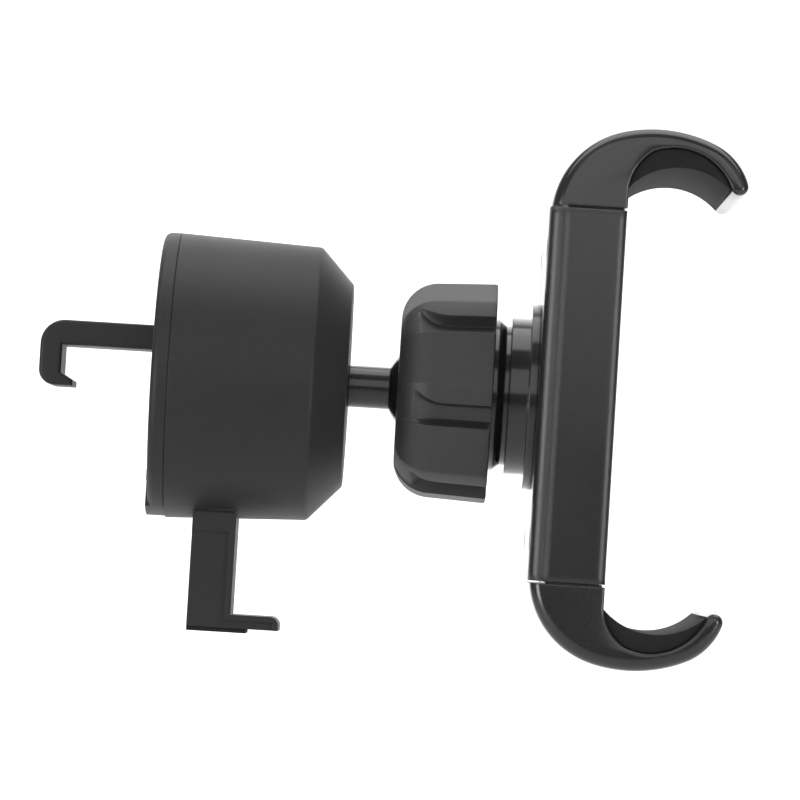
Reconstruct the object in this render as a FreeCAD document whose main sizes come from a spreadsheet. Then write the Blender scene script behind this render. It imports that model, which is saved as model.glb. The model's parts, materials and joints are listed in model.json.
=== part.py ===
import FreeCAD, Part
import math
import os
import re
import Sketcher
from FreeCAD import Placement, Rotation, Vector

# Air vent phone holder. +X runs along the barrel towards the phone, +Z is up, and
# the origin is the centre of the back plate's rear face, which presses on the vent.

# Driving sizes in millimetres, degrees or counts
SIZES = {
    # Barrel housing and back plate
    "plate_thick": 2.3,
    "barrel_radius": 20.0,
    "barrel_taper": 0.8,
    "taper_length": 19.8,
    "chamfer_length": 4.7,
    "chamfer_drop": 5.0,
    "barrel_wall": 2.2,
    "front_wall": 2.5,
    "plate_round": 1.0,
    "plate_spigot": 1.4,
    "spigot_wall": 1.4,
    "nub_radius": 1.9,
    "nub_rise": 0.8,
    "nub_drop": 3.3,
    "plate_screw_inset": 4.6,
    "plate_screw_radius": 1.1,
    "plate_screw_length": 9.0,
    "plate_head_radius": 1.9,
    "plate_head_height": 0.9,
    "plate_boss_wall": 1.3,
    # Vent hook
    "hook_height": 4.95,
    "hook_thick": 3.5,
    "hook_width": 10.0,
    "hook_reach": 16.4,
    "hook_drop": 7.45,
    "hook_claw_thick": 3.1,
    "hook_lip": 1.7,
    "hook_lip_thick": 0.8,
    "hook_lip_slope": 1.0,
    "hook_outer_round": 3.4,
    "hook_tip_round": 2.2,
    "hook_edge_round": 0.5,
    "tongue_side": 3.4,
    "tongue_end": 18.5,
    "hook_seat_depth": 1.3,
    "guide_length": 2.2,
    "guide_wall": 1.6,
    "hook_spring_radius": 3.1,
    "hook_spring_wire": 0.7,
    "hook_spring_turns": 5.0,
    "retainer_radius": 4.3,
    "retainer_thick": 1.0,
    # Support leg
    "rail_rear": 0.3,
    "rail_length": 12.8,
    "rail_half_width": 7.0,
    "rail_flange_inset": 5.0,
    "rail_flange_gap": 0.6,
    "rail_flange_thick": 1.6,
    "leg_start": 6.4,
    "leg_half_width": 6.0,
    "leg_depth": 34.9,
    "toe_length": 12.8,
    "toe_thick": 1.9,
    "toe_round": 1.2,
    "leg_recess": 0.5,
    "leg_rim": 0.8,
    "foot_pad_length": 8.3,
    "foot_pad_thick": 0.6,
    # Ball stud
    "stem_radius": 2.95,
    "stem_length": 11.9,
    "ball_radius": 6.75,
    "stud_key_radius": 2.2,
    "stud_key_length": 2.2,
    "stud_screw_radius": 1.4,
    "stud_screw_depth": 8.0,
    # Nested liners of the ball joint
    "cup_wall": 1.0,
    "cup_wrap": 0.8,
    "friction_wall": 0.75,
    "friction_wrap": 3.0,
    "liner_gap": 0.05,
    # Socket and clamp nut
    "collet_radius": 10.6,
    "collet_start": 1.8,
    "slit_width": 1.2,
    "slit_length": 6.0,
    "collet_taper": 1.0,
    "neck_radius": 9.8,
    "neck_length": 0.7,
    "collar_radius": 11.0,
    "collar_length": 2.7,
    "disc_radius": 13.0,
    "disc_thick": 1.2,
    "nut_rear": 4.9,
    "nut_length": 13.8,
    "nut_radius": 15.6,
    "nut_shoulder": 5.2,
    "nut_mouth_radius": 6.0,
    "nut_lip": 1.6,
    "nut_recess": 0.8,
    "nut_recess_radius": 8.8,
    "nut_bore_gap": 0.35,
    "nut_lobes": 7.0,
    "nut_first_edge": 31.6,
    "lobe_flat": 29.3,
    "lobe_bevel": 39.6,
    "lobe_fall": 0.34,
    "flute_wall": 2.6,
    "flute_depth": 1.7,
    "ring_gap": 0.2,
    # Cradle
    "cradle_half_width": 21.0,
    "cradle_half_height": 25.6,
    "cover_screw_inset": 3.4,
    "cover_screw_end": 5.6,
    "cover_screw_length": 7.0,
    "socket_screw_circle": 7.5,
    "socket_screw_length": 5.0,
    "cover_thick": 2.0,
    "housing_depth": 8.6,
    "edge_round": 1.7,
    "front_round": 1.1,
    "housing_front_wall": 1.9,
    "housing_side_wall": 5.0,
    "housing_end_wall": 1.8,
    "front_pad_side": 5.5,
    "front_pad_end": 6.1,
    "front_pad_corner": 4.0,
    "front_pad_seat": 0.5,
    "front_pad_rise": 0.6,
    "pad_groove": 0.8,
    "pad_groove_pitch": 6.5,
    # Rack and pinion
    "tooth_module": 1.0,
    "pinion_teeth": 12.0,
    "tooth_head": 0.68,
    "tooth_foot": 0.95,
    "tooth_backlash": 0.2,
    "pressure_angle": 20.0,
    "pinion_pin_radius": 1.5,
    "tongue_thick": 4.6,
    "tongue_stop": 3.8,
    "tongue_back_gap": 1.8,
    "lug_height": 2.0,
    "lug_gap": 1.0,
    "arm_spring_radius": 1.5,
    "arm_spring_wire": 0.5,
    "arm_spring_turns": 9.0,
    # Claws
    "arm_gap": 0.35,
    "arm_inset": 0.3,
    "claw_rise": 10.55,
    "claw_back_reach": 9.1,
    "claw_crown_run": 12.8,
    "claw_crown_drop": 1.0,
    "claw_tip_run": 4.8,
    "claw_tip_rise": 3.4,
    "claw_nose": 2.2,
    "claw_wall": 2.55,
    "claw_root_run": 3.1,
    "claw_inner_bend": 7.8,
    "claw_root_bend": 7.0,
    "claw_edge_round": 1.1,
    "claw_back_bend": 12.34,
    "claw_root_rise": 3.0,
    "claw_pad_bend": 9.9,
    "claw_pad_inset": 0.8,
    # Fasteners and clearances
    "small_screw_radius": 0.8,
    "small_head_radius": 1.5,
    "small_head_height": 0.8,
    "head_slot": 0.4,
    "hook_screw_length": 6.0,
    "screw_fit": 0.05,
    "run_fit": 0.05,
    "slide_fit": 0.2,
    "soft_fit": 0.3,
}

FUNCTIONS = ("sin", "cos", "tan", "asin", "atan", "sqrt", "min", "max", "pi", "deg")

doc = FreeCAD.newDocument("vent_phone_holder")
sheet = doc.addObject("Spreadsheet::Sheet", "Sizes")
for row, (alias, size) in enumerate(SIZES.items(), start=1):
    sheet.set("A%d" % row, str(size))
    sheet.setAlias("A%d" % row, alias)
doc.recompute()

parts = []


def cells(text):
    """Expression text in which every size name points at its cell of the sheet."""
    return re.sub(r"[a-z][a-z_]*",
                  lambda word: word.group() if word.group() in FUNCTIONS else "Sizes." + word.group(),
                  str(text))


def value(text):
    """Number that an expression of size names comes to."""
    result = sheet.evalExpression(cells(text))
    return float(getattr(result, "Value", result))


def bind(thing, **expressions):
    """Tie properties of an object to expressions of the sheet's sizes."""
    for name, text in expressions.items():
        thing.setExpression(name, cells(text))
    return thing


def place(thing, x="0", y="0", z="0", turn=None):
    """Put an object at sheet-driven coordinates, turned by a fixed rotation."""
    thing.Placement = Placement(Vector(), turn or Rotation())
    for axis, text in (("x", x), ("y", y), ("z", z)):
        thing.setExpression("Placement.Base." + axis, cells(text))
    return thing


ALONG = {
    "x": Rotation(Vector(0, 1, 0), 90),
    "y": Rotation(Vector(1, 0, 0), -90),
    "z": Rotation(),
}


def rod(name, radius, length, x="0", y="0", z="0", along="x"):
    """Cylinder whose near end's centre is at (x, y, z)."""
    thing = bind(doc.addObject("Part::Cylinder", name), Radius=radius, Height=length)
    return place(thing, x, y, z, ALONG[along])


def block(name, x, y, z):
    """Box between pairs of expressions on each axis."""
    thing = doc.addObject("Part::Box", name)
    bind(thing, Length="(%s) - (%s)" % (x[1], x[0]), Width="(%s) - (%s)" % (y[1], y[0]),
         Height="(%s) - (%s)" % (z[1], z[0]))
    return place(thing, x[0], y[0], z[0])


def ball(name, radius, x="0"):
    """Sphere centred on the barrel axis."""
    return place(bind(doc.addObject("Part::Sphere", name), Radius=radius), x)


def join(name, *things):
    """Union of several objects."""
    thing = doc.addObject("Part::MultiFuse", name)
    thing.Shapes = list(things)
    thing.Refine = True
    return thing


def cut(name, base, *tools):
    """Base with every tool taken away."""
    thing = doc.addObject("Part::Cut", name)
    thing.Base = base
    thing.Tool = tools[0] if len(tools) == 1 else join(name + "_tools", *tools)
    thing.Refine = True
    return thing


def common(name, *things):
    """Space shared by all the objects."""
    thing = doc.addObject("Part::MultiCommon", name)
    thing.Shapes = list(things)
    thing.Refine = True
    return thing


def group(name, things):
    """Separate solids kept side by side in one node."""
    thing = doc.addObject("Part::Compound", name)
    thing.Links = list(things)
    return thing


def mirrored(name, source):
    """Reflection of an object to the other side of the barrel's upright plane."""
    thing = doc.addObject("Part::Mirroring", name)
    thing.Source = source
    thing.Normal = Vector(0, 1, 0)
    return thing


def part(label, thing):
    """Register an object as a sub-part whose label names its file."""
    thing.Label = label
    parts.append(thing)
    return thing


def body(name):
    """Empty PartDesign body."""
    return doc.addObject("PartDesign::Body", name)


def outline(owner, name, plane, corners, shift=None):
    """Closed sketch through the corners, each tied to the sheet by its two coordinates.

    A third entry in a corner is the radius of the arc that leaves it, negative
    when the arc turns clockwise."""
    sketch = owner.newObject("Sketcher::SketchObject", name)
    support = [f for f in owner.Origin.OriginFeatures if f.Role == plane][0]
    sketch.AttachmentSupport = [(support, "")]
    sketch.MapMode = "FlatFace"
    if shift:
        sketch.setExpression("AttachmentOffset.Base.z", cells(shift))
    spots = [Vector(value(corner[0]), value(corner[1]), 0) for corner in corners]
    heads = []
    tails = []
    for index, corner in enumerate(corners):
        near = spots[index]
        far = spots[(index + 1) % len(spots)]
        if len(corner) == 2:
            sketch.addGeometry(Part.LineSegment(near, far), False)
            heads.append(1)
            tails.append(2)
            continue
        radius = value(corner[2])
        chord = far - near
        side = Vector(-chord.y, chord.x, 0).normalize() * math.copysign(1, radius)
        middle = (near + far) * 0.5
        centre = middle + side * math.sqrt(radius ** 2 - (chord.Length / 2) ** 2)
        first, last = (near, far) if radius > 0 else (far, near)
        start = math.atan2(first.y - centre.y, first.x - centre.x)
        end = math.atan2(last.y - centre.y, last.x - centre.x)
        circle = Part.Circle(centre, Vector(0, 0, 1), abs(radius))
        sketch.addGeometry(Part.ArcOfCircle(circle, start, end), False)
        heads.append(1 if radius > 0 else 2)
        tails.append(2 if radius > 0 else 1)
    for index, corner in enumerate(corners):
        after = (index + 1) % len(corners)
        sketch.addConstraint(Sketcher.Constraint("Coincident", index, tails[index], after, heads[after]))
    for index, corner in enumerate(corners):
        for kind, spot, text in (("DistanceX", spots[index].x, corner[0]),
                                 ("DistanceY", spots[index].y, corner[1])):
            which = sketch.addConstraint(Sketcher.Constraint(kind, index, heads[index], spot))
            sketch.setExpression("Constraints[%d]" % which, cells(text))
        if len(corner) == 3:
            which = sketch.addConstraint(Sketcher.Constraint("Radius", index, abs(value(corner[2]))))
            sketch.setExpression("Constraints[%d]" % which, cells("sqrt((%s) * (%s))" % (corner[2], corner[2])))
    return sketch


def padded(name, plane, corners, length):
    """Body padded evenly to both sides of a plane from an outline."""
    owner = body(name)
    sketch = outline(owner, name + "_outline", plane, corners)
    pad = owner.newObject("PartDesign::Pad", name + "_pad")
    pad.Profile = sketch
    pad.Midplane = True
    bind(pad, Length=length)
    return owner


def turned(name, corners):
    """Body turned about the barrel axis from an outline of (along, radius) corners."""
    owner = body(name)
    sketch = outline(owner, name + "_outline", "XZ_Plane", corners)
    turn = owner.newObject("PartDesign::Revolution", name + "_turn")
    turn.Profile = sketch
    turn.ReferenceAxis = (sketch, ["H_Axis"])
    turn.Angle = 360
    return owner


def rounded(name, source, radius, choose):
    """Fillet on the edges that the test picks."""
    doc.recompute()
    thing = doc.addObject("Part::Fillet", name)
    thing.Base = source
    size = value(radius)
    picked = [(i, size, size) for i, edge in enumerate(source.Shape.Edges, start=1) if choose(edge)]
    assert picked, name + " found no edge"
    thing.Edges = picked
    return thing


def coil(name, radius, wire, turns, length, x="0", y="0", z="0", along="x"):
    """Round wire swept along a helix between two ends."""
    helix = bind(doc.addObject("Part::Helix", name + "_helix"), Radius=radius,
                 Pitch="(%s) / (%s)" % (length, turns), Height=length)
    section = bind(doc.addObject("Part::Circle", name + "_wire"), Radius=wire + " / 2")
    place(section, radius, "0", "0", Rotation(Vector(1, 0, 0), 90))
    sweep = doc.addObject("Part::Sweep", name)
    sweep.Sections = [section]
    sweep.Spine = helix
    sweep.Solid = True
    sweep.Frenet = True
    return place(sweep, x, y, z, ALONG[along])


def near(first, second):
    """True where two lengths agree closely."""
    return abs(first - second) < 0.02


# Stations along the barrel axis, worked out from the driving sizes
NOSE = "(plate_thick + taper_length)"
FRONT = "(plate_thick + taper_length + chamfer_length)"
INNER = "(plate_thick + taper_length + chamfer_length - front_wall)"
BALL = "(plate_thick + taper_length + chamfer_length + stem_length)"
CUP_OUT = "(ball_radius + liner_gap + cup_wall)"
LINER_IN = "(ball_radius + 2 * liner_gap + cup_wall)"
LINER_OUT = "(ball_radius + 2 * liner_gap + cup_wall + friction_wall)"
SOCKET_IN = "(ball_radius + 3 * liner_gap + cup_wall + friction_wall)"
NUT_BACK = "(%s - nut_rear)" % BALL
NUT_FACE = "(%s - nut_rear + nut_length)" % BALL
COLLAR = "(%s + collet_taper + neck_length)" % NUT_FACE
DISC = "(%s + collar_length)" % COLLAR
CRADLE = "(%s + disc_thick)" % DISC
HOUSING = "(%s + cover_thick)" % CRADLE
CRADLE_FACE = "(%s + housing_depth)" % HOUSING
HOUSING_INNER = "(%s - housing_front_wall)" % CRADLE_FACE
TONGUE_BACK = "(%s + tongue_back_gap)" % HOUSING
TONGUE_FRONT = "(%s + tongue_thick)" % TONGUE_BACK
PITCH_RADIUS = "(tooth_module * pinion_teeth / 2)"
RACK_TIP = "(%s - tooth_head)" % PITCH_RADIUS
CAVITY_HALF = "(cradle_half_width - housing_side_wall)"
END_INNER = "(cradle_half_height - housing_end_wall)"
NOSE_RADIUS = "(barrel_radius - barrel_taper)"
FRONT_RADIUS = "(barrel_radius - barrel_taper - chamfer_drop)"
SCREW_CIRCLE = "(barrel_radius - plate_screw_inset)"
FLANGE = "(barrel_radius - rail_flange_inset)"
FLANGE_HALF = "(sqrt((barrel_radius - barrel_wall - rail_flange_gap) ^ 2 - %s ^ 2))" % FLANGE
SPRING_ROOM = "(2 * arm_spring_radius + 2 * arm_spring_wire + soft_fit)"
TONGUE_WIDTH = "(%s - %s - %s - lug_gap)" % (CAVITY_HALF, RACK_TIP, SPRING_ROOM)
TONGUE_REACH = "(%s - tongue_stop)" % END_INNER
CLAW_FALL = "(claw_rise - claw_crown_drop - claw_tip_rise)"
# Half turns of the claw's outer arcs, each one tangent to the next, and their radii
BACK_TURN = "asin(sqrt(claw_back_reach ^ 2 + claw_rise ^ 2) / (2 * claw_back_bend))"
CROWN_SLOPE = "atan(claw_crown_drop / claw_crown_run)"
CROWN_TURN = "(atan(claw_rise / claw_back_reach) + %s - %s)" % (CROWN_SLOPE, BACK_TURN)
CROWN_BEND = "(sqrt(claw_crown_run ^ 2 + claw_crown_drop ^ 2) / (2 * sin(%s)))" % CROWN_TURN
TIP_SLOPE = "atan(%s / claw_tip_run)" % CLAW_FALL
TIP_TURN = "(%s - %s - %s)" % (TIP_SLOPE, CROWN_SLOPE, CROWN_TURN)
TIP_BEND = "(sqrt(claw_tip_run ^ 2 + %s ^ 2) / (2 * sin(%s)))" % (CLAW_FALL, TIP_TURN)
NOSE_TURN = "(180 deg - atan(1 / 2) - %s - %s)" % (TIP_SLOPE, TIP_TURN)
NOSE_BEND = "(claw_nose * sqrt(5) / (4 * sin(%s)))" % NOSE_TURN
PAD_HALF_WIDTH = "(cradle_half_width - front_pad_side)"
PAD_HALF_HEIGHT = "(cradle_half_height - front_pad_end)"

# Grooves across the front pad, and spans that make up one tooth flank
PAD_GROOVES = 5
FLANK_SPANS = 4


def barrel_housing():
    """Tapered cup with a conical nose, three screw bosses and a slot for the leg's rail."""
    shell = turned("barrel_shell", [
        ("plate_thick", "barrel_radius"),
        (NOSE, NOSE_RADIUS),
        (FRONT, FRONT_RADIUS),
        (FRONT, "stud_key_radius + screw_fit"),
        (INNER, "stud_key_radius + screw_fit"),
        (INNER, FRONT_RADIUS),
        (NOSE + " - front_wall / 2", NOSE_RADIUS + " - barrel_wall"),
        ("plate_thick", "barrel_radius - barrel_wall"),
    ])
    bosses = []
    holes = []
    for index, (across, up) in enumerate(PLATE_SCREWS):
        start = "plate_thick + plate_spigot + screw_fit"
        bosses.append(rod("barrel_boss_%d" % index, "plate_screw_radius + plate_boss_wall",
                          "%s - (%s) - front_wall" % (INNER, start), start, across, up))
        holes.append(rod("barrel_pilot_%d" % index, "plate_screw_radius + screw_fit",
                         "plate_screw_length + 2 * screw_fit", "plate_thick", across, up))
    slot = block("barrel_rail_slot", ("0", "rail_length - rail_rear + slide_fit"),
                 ("-rail_half_width - slide_fit", "rail_half_width + slide_fit"),
                 ("-barrel_radius - slide_fit", "-" + FLANGE))
    part("barrel", cut("barrel_cut", join("barrel_join", shell, *bosses), *holes, slot))


def back_plate():
    """Round plate that closes the barrel, with the hook's guide and the open T slot."""
    disc = turned("plate_disc", [
        ("0", "0"),
        ("0", "barrel_radius - plate_round", "-plate_round"),
        ("plate_round", "barrel_radius"),
        ("plate_thick", "barrel_radius"),
        ("plate_thick", "0"),
    ])
    spigot = cut("plate_spigot_ring",
                 rod("plate_spigot_out", "barrel_radius - barrel_wall - slide_fit",
                     "plate_thick + plate_spigot", "0"),
                 rod("plate_spigot_in", "barrel_radius - barrel_wall - slide_fit - spigot_wall",
                     "plate_thick + 2 * plate_spigot", "0"))
    nub = rod("plate_nub", "nub_radius", "nub_rise + plate_thick / 2", "-nub_rise", "0", "-nub_drop")
    hole = "tongue_side / 2 + slide_fit"
    guide = block("plate_guide", ("plate_thick / 2", "plate_thick + guide_length"),
                  ("-(%s) - guide_wall" % hole, hole + " + guide_wall"),
                  ("hook_height - (%s) - guide_wall" % hole, "hook_height + %s + guide_wall" % hole))
    tools = [
        block("plate_tongue_bore", ("0", "plate_thick + 2 * guide_length"), ("-(%s)" % hole, hole),
              ("hook_height - (%s)" % hole, "hook_height + " + hole)),
        block("plate_hook_seat", ("-nub_rise", "hook_seat_depth"),
              ("-hook_width / 2 - slide_fit", "hook_width / 2 + slide_fit"),
              ("hook_height - hook_thick / 2 - slide_fit", "hook_height + hook_thick / 2 + slide_fit")),
        block("plate_rail_throat", ("-nub_rise", "plate_thick + 2 * plate_spigot"),
              ("-rail_half_width - slide_fit", "rail_half_width + slide_fit"),
              ("-barrel_radius - slide_fit", "-" + FLANGE)),
        block("plate_flange_slot", ("-nub_rise", "plate_thick + 2 * plate_spigot"),
              ("-%s - slide_fit" % FLANGE_HALF, FLANGE_HALF + " + slide_fit"),
              ("-%s - slide_fit" % FLANGE, "-%s + rail_flange_thick + slide_fit" % FLANGE)),
    ]
    for index, (across, up) in enumerate(PLATE_SCREWS):
        tools.append(rod("plate_hole_%d" % index, "plate_screw_radius + screw_fit",
                         "plate_thick + 2 * plate_spigot", "0", across, up))
        tools.append(rod("plate_sink_%d" % index, "plate_head_radius + screw_fit",
                         "plate_head_height + nub_rise + screw_fit", "-nub_rise", across, up))
    part("back_plate", cut("plate_cut", join("plate_join", disc, spigot, nub, guide), *tools))


def screw(name, head, head_height, shank, length, x, y, z, heading=1):
    """Pan-head screw with its head's outer face at x, pointing along +X or -X."""
    if heading > 0:
        top = rod(name + "_head", head, head_height, x, y, z)
        stem = rod(name + "_shank", shank, "%s + %s" % (length, head_height), x, y, z)
    else:
        top = rod(name + "_head", head, head_height, "%s - (%s)" % (x, head_height), y, z)
        stem = rod(name + "_shank", shank, "%s + %s" % (length, head_height),
                   "%s - (%s) - (%s)" % (x, head_height, length), y, z)
    slot = block(name + "_slot",
                 (x, x + " + head_slot") if heading > 0 else (x + " - head_slot", x),
                 ("(%s) - (%s)" % (y, head), "(%s) + (%s)" % (y, head)),
                 ("(%s) - head_slot / 2" % z, "(%s) + head_slot / 2" % z))
    return cut(name, join(name + "_blank", top, stem), slot)


def plate_screws():
    """Three screws that hold the back plate to the barrel's bosses."""
    screws = [screw("plate_screw_%d" % index, "plate_head_radius", "plate_head_height",
                    "plate_screw_radius", "plate_screw_length", "0", across, up)
              for index, (across, up) in enumerate(PLATE_SCREWS)]
    part("plate_screws", group("plate_screw_group", screws))


def vent_hook():
    """Flat arm with a turned-down claw, on a square tongue that slides in the plate's guide."""
    top = "hook_height + hook_thick / 2"
    under = "hook_height - hook_thick / 2"
    bottom = "hook_height - hook_drop"
    arm = padded("hook_arm", "XZ_Plane", [
        ("hook_seat_depth - slide_fit", top),
        ("-hook_reach + hook_outer_round", top, "hook_outer_round"),
        ("-hook_reach", top + " - hook_outer_round"),
        ("-hook_reach", bottom + " + hook_tip_round", "hook_tip_round"),
        ("-hook_reach + hook_tip_round", bottom),
        ("-hook_reach + hook_claw_thick + hook_lip", bottom),
        ("-hook_reach + hook_claw_thick + hook_lip", bottom + " + hook_lip_thick"),
        ("-hook_reach + hook_claw_thick", bottom + " + hook_lip_thick + hook_lip_slope"),
        ("-hook_reach + hook_claw_thick", under),
        ("hook_seat_depth - slide_fit", under),
    ], "hook_width")
    half = value("hook_width") / 2
    limit = -value("hook_edge_round")
    soft = rounded("hook_soft", arm, "hook_edge_round",
                   lambda edge: near(abs(edge.CenterOfMass.y), half) and edge.CenterOfMass.x < limit)
    tongue = block("hook_tongue", ("0", "tongue_end"), ("-tongue_side / 2", "tongue_side / 2"),
                   ("hook_height - tongue_side / 2", "hook_height + tongue_side / 2"))
    pilot = rod("hook_pilot", "small_screw_radius + screw_fit", "hook_screw_length + screw_fit",
                "tongue_end - hook_screw_length - screw_fit", "0", "hook_height")
    part("vent_hook", cut("hook_cut", join("hook_join", soft, tongue), pilot))
    washer = cut("hook_washer",
                 rod("hook_washer_disc", "retainer_radius", "retainer_thick", "tongue_end", "0", "hook_height"),
                 rod("hook_washer_hole", "small_screw_radius + screw_fit", "2 * retainer_thick",
                     "tongue_end - retainer_thick / 2", "0", "hook_height"))
    part("hook_retainer", washer)
    part("hook_screw", screw("hook_screw_body", "small_head_radius", "small_head_height",
                             "small_screw_radius", "hook_screw_length + retainer_thick - small_head_height",
                             "tongue_end + retainer_thick + small_head_height", "0", "hook_height", -1))
    start = "plate_thick + guide_length + screw_fit + hook_spring_wire / 2"
    part("hook_spring", coil("hook_coil", "hook_spring_radius", "hook_spring_wire", "hook_spring_turns",
                             "tongue_end - screw_fit - hook_spring_wire / 2 - (%s)" % start, start,
                             "0", "hook_height"))


def support_leg():
    """Leg with a toe, on a T rail whose foot follows the barrel's round underside."""
    end = "rail_length - rail_rear"
    neck = common("leg_neck",
                  block("leg_neck_block", ("-rail_rear", end), ("-rail_half_width", "rail_half_width"),
                        ("-barrel_radius", "-%s + slide_fit" % FLANGE)),
                  rod("leg_neck_round", "barrel_radius - slide_fit", "rail_length + 2 * rail_rear",
                      "-2 * rail_rear"))
    flange = block("leg_flange", ("-rail_rear", end),
                   ("-" + FLANGE_HALF, FLANGE_HALF),
                   ("-" + FLANGE, "-%s + rail_flange_thick" % FLANGE))
    arm = padded("leg_arm", "XZ_Plane", [
        ("leg_start", "-" + FLANGE),
        ("leg_start", "-leg_depth"),
        ("leg_start + toe_length", "-leg_depth"),
        ("leg_start + toe_length", "-leg_depth + toe_thick - toe_round", "toe_round"),
        ("leg_start + toe_length - toe_round", "-leg_depth + toe_thick"),
        (end, "-leg_depth + toe_thick"),
        (end, "-" + FLANGE),
    ], "2 * leg_half_width")
    tools = []
    for side, near_face, far_face in (("near", "-leg_half_width - leg_recess", "-leg_half_width + leg_recess"),
                                      ("far", "leg_half_width - leg_recess", "leg_half_width + leg_recess")):
        tools.append(block("leg_recess_" + side, ("leg_start - leg_rim", end + " - leg_rim"),
                           (near_face, far_face),
                           ("-leg_depth - leg_rim", "-barrel_radius - 2 * leg_rim")))
        tools.append(block("toe_recess_" + side,
                           (end + " - 2 * leg_rim", "leg_start + toe_length - leg_rim"),
                           (near_face, far_face),
                           ("-leg_depth - leg_rim", "-leg_depth + toe_thick - leg_rim")))
    part("support_leg", cut("leg_cut", join("leg_join", neck, flange, arm), *tools))
    part("foot_pad", block("foot_pad_block", ("leg_start", "leg_start + foot_pad_length"),
                           ("-leg_half_width + leg_rim", "leg_half_width - leg_rim"),
                           ("-leg_depth - foot_pad_thick", "-leg_depth")))


def ball_stud():
    """Ball on a stem, keyed through the barrel's nose and drawn tight by a screw and washer."""
    stem = rod("stud_stem", "stem_radius", "stem_length", FRONT)
    key = rod("stud_key", "stud_key_radius", "stud_key_length + stem_radius", FRONT + " - stud_key_length")
    pilot = rod("stud_pilot", "stud_screw_radius + screw_fit", "stud_key_length + stud_screw_depth",
                FRONT + " - stud_key_length - screw_fit")
    part("ball_stud", cut("stud_cut", join("stud_join", stem, key, ball("stud_ball", "ball_radius", BALL)),
                          pilot))
    washer = cut("stud_washer_ring",
                 rod("stud_washer_disc", "2 * stud_key_radius", "retainer_thick", INNER + " - retainer_thick"),
                 rod("stud_washer_hole", "stud_screw_radius + screw_fit", "2 * retainer_thick",
                     INNER + " - 3 * retainer_thick / 2"))
    part("stud_washer", washer)
    part("stud_screw", screw("stud_screw_body", "2 * stud_screw_radius", "stud_screw_radius",
                             "stud_screw_radius", "retainer_thick + stud_screw_depth",
                             INNER + " - retainer_thick - stud_screw_radius", "0", "0"))


def liner(label, outer, inner, wrap):
    """Spherical shell round the ball, open behind a plane that lies wrap past the centre."""
    keep = block(label + "_keep", ("%s - %s" % (BALL, wrap), "%s + 2 * (%s)" % (BALL, outer)),
                 ("-2 * (%s)" % outer, "2 * (%s)" % outer), ("-2 * (%s)" % outer, "2 * (%s)" % outer))
    shell = cut(label + "_shell", ball(label + "_outside", outer, BALL), ball(label + "_inside", inner, BALL))
    part(label, common(label + "_common", shell, keep))


def socket():
    """Slotted collet that grips the liners, with the collar and disc that carry the cradle."""
    start = "(%s - collet_start)" % BALL
    blank = turned("socket_blank", [
        (start, "0"),
        (start, "collet_radius"),
        (NUT_FACE, "collet_radius"),
        (NUT_FACE + " + collet_taper", "neck_radius"),
        (COLLAR, "neck_radius"),
        (COLLAR, "collar_radius"),
        (DISC, "collar_radius"),
        (DISC, "disc_radius"),
        (CRADLE, "disc_radius"),
        (CRADLE, "0"),
    ])
    tools = [ball("socket_hollow", SOCKET_IN, BALL)]
    slit = ("-slit_width / 2", "slit_width / 2")
    across = ("-2 * collet_radius", "2 * collet_radius")
    along = (start + " - slit_width", start + " + slit_length")
    tools.append(block("socket_slit_up", along, slit, across))
    tools.append(block("socket_slit_across", along, across, slit))
    for index, (y, z) in enumerate(SOCKET_SCREWS):
        tools.append(rod("socket_pilot_%d" % index, "small_screw_radius + screw_fit",
                         "socket_screw_length", "%s - socket_screw_length + cover_thick - screw_fit" % CRADLE,
                         y, z))
    part("socket", cut("socket_cut", blank, *tools))
    screws = [screw("socket_screw_%d" % index, "small_head_radius", "small_head_height",
                    "small_screw_radius", "socket_screw_length", HOUSING + " + small_head_height", y, z, -1)
              for index, (y, z) in enumerate(SOCKET_SCREWS)]
    part("socket_screws", group("socket_screw_group", screws))


def clamp_nut():
    """Lobed ring nut with a round shoulder, and the pressure ring that it pushes on the collet."""
    bore = "collet_radius + nut_bore_gap"
    blank = turned("nut_blank", [
        (NUT_BACK + " + nut_recess", "nut_mouth_radius"),
        (NUT_BACK + " + nut_recess", "nut_recess_radius"),
        (NUT_BACK, "nut_recess_radius + nut_recess"),
        (NUT_BACK, "nut_radius - nut_shoulder", "-nut_shoulder"),
        (NUT_BACK + " + nut_shoulder", "nut_radius"),
        (NUT_FACE, "nut_radius"),
        (NUT_FACE, bore),
        (NUT_BACK + " + nut_lip", bore),
        (NUT_BACK + " + nut_lip", "nut_mouth_radius"),
    ])
    lobes = int(value("nut_lobes"))
    corners = []
    for index in range(lobes):
        start = "(nut_first_edge - %d * 360 / nut_lobes)" % index
        for turn, reach in (("0", "nut_radius"), ("-lobe_flat", "nut_radius"),
                            ("-lobe_bevel", "nut_radius - lobe_fall"),
                            ("-lobe_bevel - flute_wall", "nut_radius - flute_depth"),
                            ("-360 / nut_lobes + flute_wall", "nut_radius - flute_depth")):
            corners.append(("-(%s) * cos((%s + %s) * 1 deg)" % (reach, start, turn),
                            "(%s) * sin((%s + %s) * 1 deg)" % (reach, start, turn)))
    owner = body("nut_lobes_form")
    sketch = outline(owner, "nut_lobes_outline", "YZ_Plane", corners, NUT_BACK + " - nut_lip")
    form = owner.newObject("PartDesign::Pad", "nut_lobes_pad")
    form.Profile = sketch
    bind(form, Length="nut_length + 2 * nut_lip")
    part("clamp_nut", common("nut_common", blank, owner))
    back = NUT_BACK + " + nut_lip + run_fit"
    length = "nut_rear - nut_lip - collet_start - 2 * run_fit"
    ring = cut("ring_cut", rod("ring_out", bore + " - run_fit", length, back),
               rod("ring_in", SOCKET_IN + " + ring_gap", "2 * (%s)" % length, back + " - run_fit"))
    part("pressure_ring", ring)


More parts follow.
